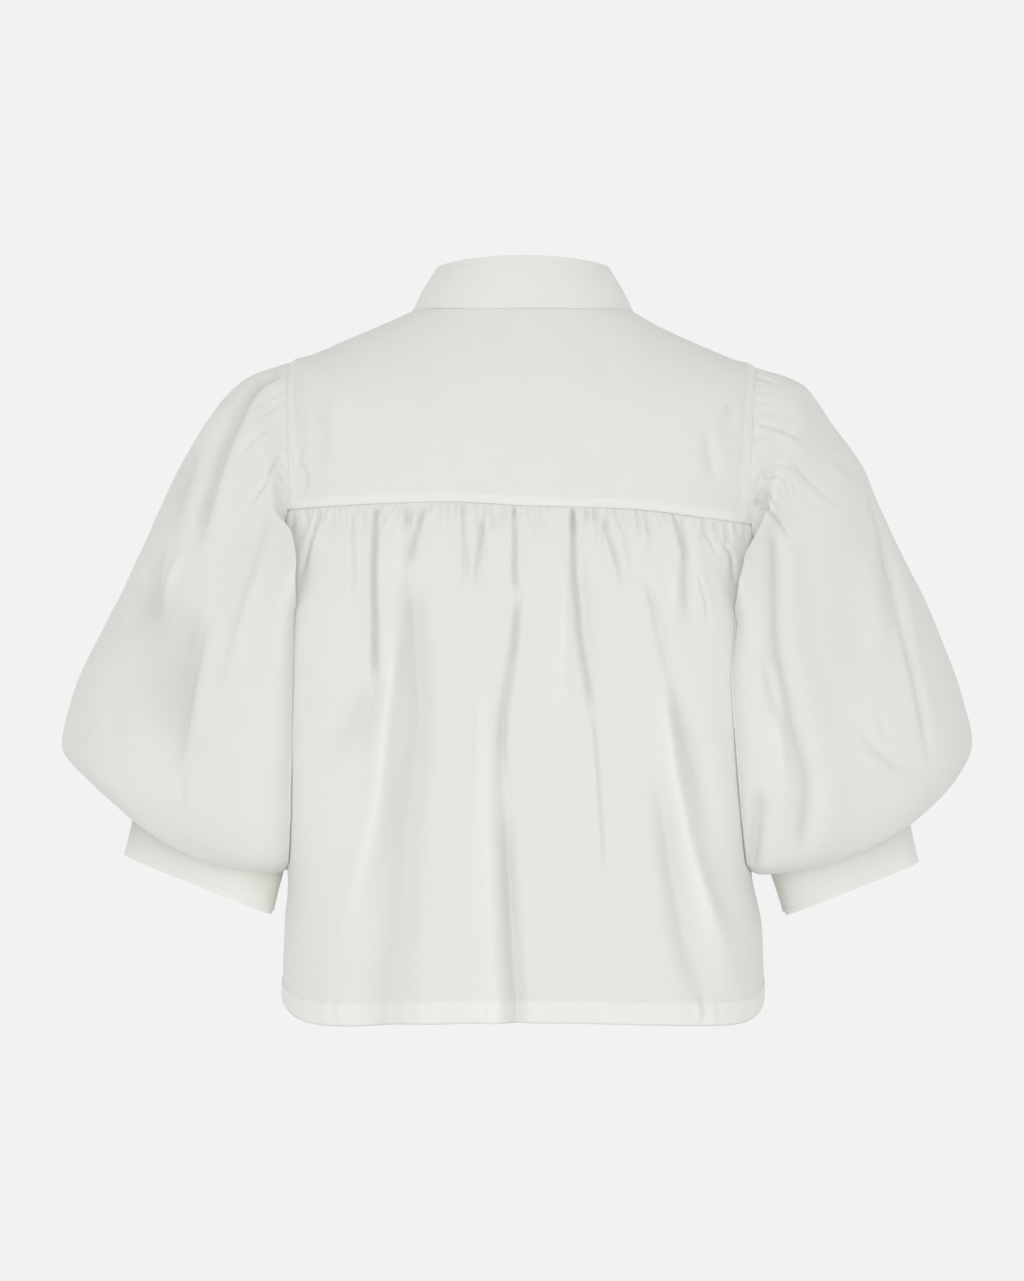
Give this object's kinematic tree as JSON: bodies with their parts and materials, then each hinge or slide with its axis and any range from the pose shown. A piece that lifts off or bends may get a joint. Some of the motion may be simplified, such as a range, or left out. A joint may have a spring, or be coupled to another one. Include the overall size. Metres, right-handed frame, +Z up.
{
  "type": "button-up shirt",
  "caption": "Boxy shirt with a stand collar, buttoned front, deep back yoke, gathered back and balloon sleeves in narrow cuffs, hollow as worn.",
  "frame": {"origin": "middle of the neck opening, level with the back neck seam, where the wearer's neck and shoulders hold the shirt up", "axes": "+Z up, +X to the wearer's left, the back of the shirt faces +Y"},
  "size_m": [0.7652, 0.2586, 0.6316],
  "materials": {
    "shirting": "matt off-white cotton plain weave with a faint slub",
    "button": "pearly off-white, softly polished"
  },
  "bodies": {
    "root": {"back_yoke": "shirting", "back_panel": "shirting", "front_left": "shirting", "front_right": "shirting", "placket_left": "shirting", "placket_right": "shirting", "collar_band": "shirting", "sleeve_left": "shirting", "sleeve_right": "shirting", "cuff_left": "shirting", "cuff_right": "shirting", "button_1": "button", "button_2": "button", "button_3": "button", "button_4": "button", "button_5": "button", "button_6": "button", "button_7": "button", "button_8": "button"}
  },
  "joints": []
}
